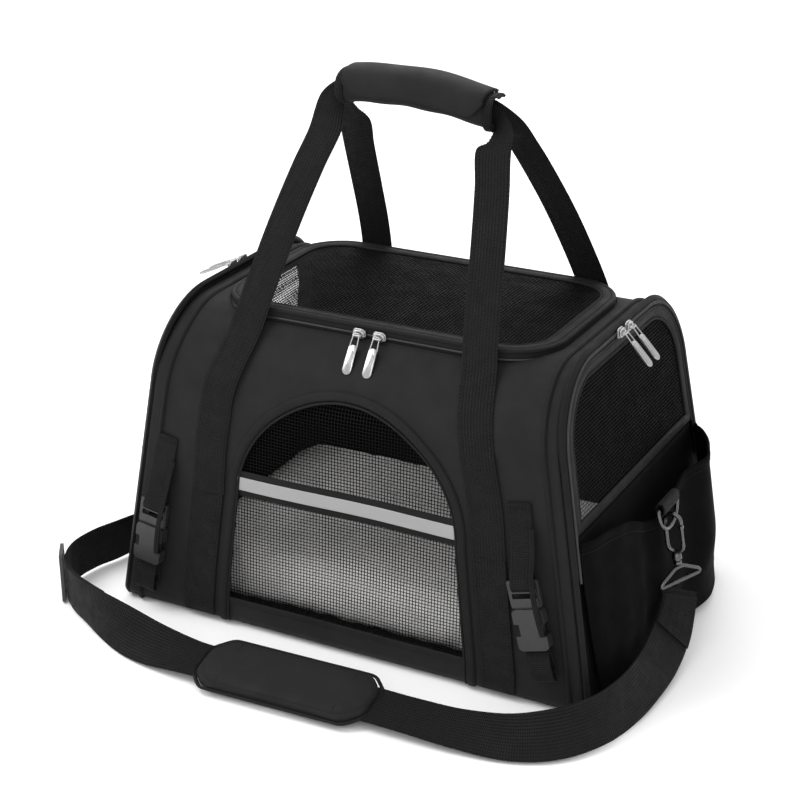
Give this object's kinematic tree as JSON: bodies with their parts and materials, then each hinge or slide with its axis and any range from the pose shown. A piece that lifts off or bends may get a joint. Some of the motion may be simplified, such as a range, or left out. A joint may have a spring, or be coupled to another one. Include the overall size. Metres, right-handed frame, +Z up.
{
  "type": "pet carrier bag",
  "caption": "Soft-sided black pet carrier with an arched mesh window, zipped mesh top and end doors, twin carry handles in one grip, side pockets and a clip-on padded shoulder strap.",
  "frame": {"origin": "middle of the flat underside of the base, on the surface that the bag stands on", "axes": "+X towards the right end door, +Y towards the rear wall, +Z up; the front wall with the reflective strip faces -Y"},
  "size_m": [0.5306, 0.3895, 0.4545],
  "materials": {
    "padded_cloth": "fine plain-woven polyester over thin padding, black",
    "binding": "woven edge binding and piping, black",
    "webbing": "ribbed woven webbing, black",
    "mesh": "open square mesh of coated yarn, black",
    "reflective_tape": "silver reflective tape with dark bound edges",
    "fleece": "long-pile white fleece",
    "board": "stiff plastic base board",
    "buckle_plastic": "moulded acetal, fine satin texture, black",
    "zip_metal": "polished silver plating on zinc",
    "hook_metal": "black nickel plating on zinc"
  },
  "bodies": {
    "root": {"base_board": "board", "base_panel": "padded_cloth", "fleece_mat": "fleece", "front_left_sewn_strap": "webbing", "front_panel": "padded_cloth", "front_reflective_strip": "reflective_tape", "front_right_sewn_strap": "webbing", "front_window_mesh": "mesh", "left_buckle_socket": "buckle_plastic", "left_compression_strap": "webbing", "left_d_ring": "hook_metal", "left_end_panel": "padded_cloth", "left_end_rim": "binding", "left_pocket": "padded_cloth", "left_ring_tab": "webbing", "left_snap_hook": "hook_metal", "left_strap_eye": "hook_metal", "left_top_panel": "padded_cloth", "rear_left_sewn_strap": "webbing", "rear_panel": "padded_cloth", "rear_right_sewn_strap": "webbing", "right_buckle_socket": "buckle_plastic", "right_compression_strap": "webbing", "right_d_ring": "hook_metal", "right_end_panel": "padded_cloth", "right_end_rim": "binding", "right_pocket": "padded_cloth", "right_ring_tab": "webbing", "right_snap_hook": "hook_metal", "right_strap_eye": "hook_metal", "right_top_panel": "padded_cloth", "shoulder_pad": "padded_cloth", "shoulder_strap": "webbing", "tri_glide": "buckle_plastic"},
    "top_door": {"top_door_frame": "binding", "top_door_mesh": "mesh"},
    "front_handle": {"front_handle": "webbing", "grip_wrap": "padded_cloth"},
    "rear_handle": {"rear_handle": "webbing"},
    "top_left_slider": {"top_left_slider": "zip_metal"},
    "top_left_pull": {"top_left_pull": "zip_metal"},
    "top_right_slider": {"top_right_slider": "zip_metal"},
    "top_right_pull": {"top_right_pull": "zip_metal"},
    "left_door": {"left_door_frame": "binding", "left_door_mesh": "mesh"},
    "left_front_slider": {"left_front_slider": "zip_metal"},
    "left_front_pull": {"left_front_pull": "zip_metal"},
    "left_rear_slider": {"left_rear_slider": "zip_metal"},
    "left_rear_pull": {"left_rear_pull": "zip_metal"},
    "right_door": {"right_door_frame": "binding", "right_door_mesh": "mesh"},
    "right_front_slider": {"right_front_slider": "zip_metal"},
    "right_front_pull": {"right_front_pull": "zip_metal"},
    "right_rear_slider": {"right_rear_slider": "zip_metal"},
    "right_rear_pull": {"right_rear_pull": "zip_metal"},
    "left_buckle_plug": {"left_buckle_plug": "buckle_plastic"},
    "left_hook_gate": {"left_hook_gate": "hook_metal"},
    "right_buckle_plug": {"right_buckle_plug": "buckle_plastic"},
    "right_hook_gate": {"right_hook_gate": "hook_metal"}
  },
  "joints": [
    {"name": "top_door_hinge", "type": "hinge", "parent": "root", "child": "top_door", "pos_m": [0, 0.0923, 0.264], "axis": [-1, 0, 0], "range_deg": [0, 110]},
    {"name": "front_handle_fold", "type": "hinge", "parent": "root", "child": "front_handle", "pos_m": [0, -0.1365, 0.1192], "axis": [1, 0, 0], "range_deg": [0, 88]},
    {"name": "rear_handle_fold", "type": "hinge", "parent": "root", "child": "rear_handle", "pos_m": [0, 0.1365, 0.1192], "axis": [-1, 0, 0], "range_deg": [0, 88]},
    {"name": "top_left_slider_travel", "type": "slide", "parent": "top_door", "child": "top_left_slider", "axis": [-1, 0, 0], "range_m": [0, 0.06]},
    {"name": "top_left_pull_swing", "type": "hinge", "parent": "top_left_slider", "child": "top_left_pull", "pos_m": [-0.009, -0.095, 0.264], "axis": [-1, 0, 0], "range_deg": [0, 110]},
    {"name": "top_right_slider_travel", "type": "slide", "parent": "top_door", "child": "top_right_slider", "axis": [1, 0, 0], "range_m": [0, 0.06]},
    {"name": "top_right_pull_swing", "type": "hinge", "parent": "top_right_slider", "child": "top_right_pull", "pos_m": [0.009, -0.095, 0.264], "axis": [-1, 0, 0], "range_deg": [0, 110]},
    {"name": "left_door_hinge", "type": "hinge", "parent": "root", "child": "left_door", "pos_m": [-0.1972, 0, 0.1436], "axis": [0, -1, 0], "range_deg": [0, 90]},
    {"name": "left_front_slider_travel", "type": "slide", "parent": "left_door", "child": "left_front_slider", "axis": [0, -1, 0], "range_m": [0, 0.045]},
    {"name": "left_front_pull_swing", "type": "hinge", "parent": "left_front_slider", "child": "left_front_pull", "pos_m": [-0.1845, -0.008, 0.2695], "axis": [0, 1, 0], "range_deg": [-58, 90]},
    {"name": "left_rear_slider_travel", "type": "slide", "parent": "left_door", "child": "left_rear_slider", "axis": [0, 1, 0], "range_m": [0, 0.045]},
    {"name": "left_rear_pull_swing", "type": "hinge", "parent": "left_rear_slider", "child": "left_rear_pull", "pos_m": [-0.1845, 0.008, 0.2695], "axis": [0, 1, 0], "range_deg": [-58, 90]},
    {"name": "right_door_hinge", "type": "hinge", "parent": "root", "child": "right_door", "pos_m": [0.1972, 0, 0.1436], "axis": [0, 1, 0], "range_deg": [0, 90]},
    {"name": "right_front_slider_travel", "type": "slide", "parent": "right_door", "child": "right_front_slider", "axis": [0, -1, 0], "range_m": [0, 0.045]},
    {"name": "right_front_pull_swing", "type": "hinge", "parent": "right_front_slider", "child": "right_front_pull", "pos_m": [0.1845, -0.008, 0.2695], "axis": [0, -1, 0], "range_deg": [-35, 110]},
    {"name": "right_rear_slider_travel", "type": "slide", "parent": "right_door", "child": "right_rear_slider", "axis": [0, 1, 0], "range_m": [0, 0.045]},
    {"name": "right_rear_pull_swing", "type": "hinge", "parent": "right_rear_slider", "child": "right_rear_pull", "pos_m": [0.1845, 0.008, 0.2695], "axis": [0, -1, 0], "range_deg": [-35, 110]},
    {"name": "left_buckle_plug_release", "type": "slide", "parent": "root", "child": "left_buckle_plug", "axis": [0.158, 0.068, 0.9851], "range_m": [0, 0.024]},
    {"name": "left_hook_gate_swing", "type": "hinge", "parent": "root", "child": "left_hook_gate", "pos_m": [-0.2392, -0.006, 0.0967], "axis": [0, 1, 0], "range_deg": [0, 22], "stiffness_Nm_per_rad": 0.01, "springref_deg": -20.05},
    {"name": "right_buckle_plug_release", "type": "slide", "parent": "root", "child": "right_buckle_plug", "axis": [-0.2696, 0.0663, 0.9607], "range_m": [0, 0.017]},
    {"name": "right_hook_gate_swing", "type": "hinge", "parent": "root", "child": "right_hook_gate", "pos_m": [0.2392, -0.006, 0.0967], "axis": [0, -1, 0], "range_deg": [0, 22], "stiffness_Nm_per_rad": 0.01, "springref_deg": -20.05}
  ],
  "couplings": [
    {"joint": "front_handle_fold", "follows": "top_door_hinge", "ratio": 0.8},
    {"joint": "rear_handle_fold", "follows": "top_door_hinge", "ratio": 0.8}
  ]
}
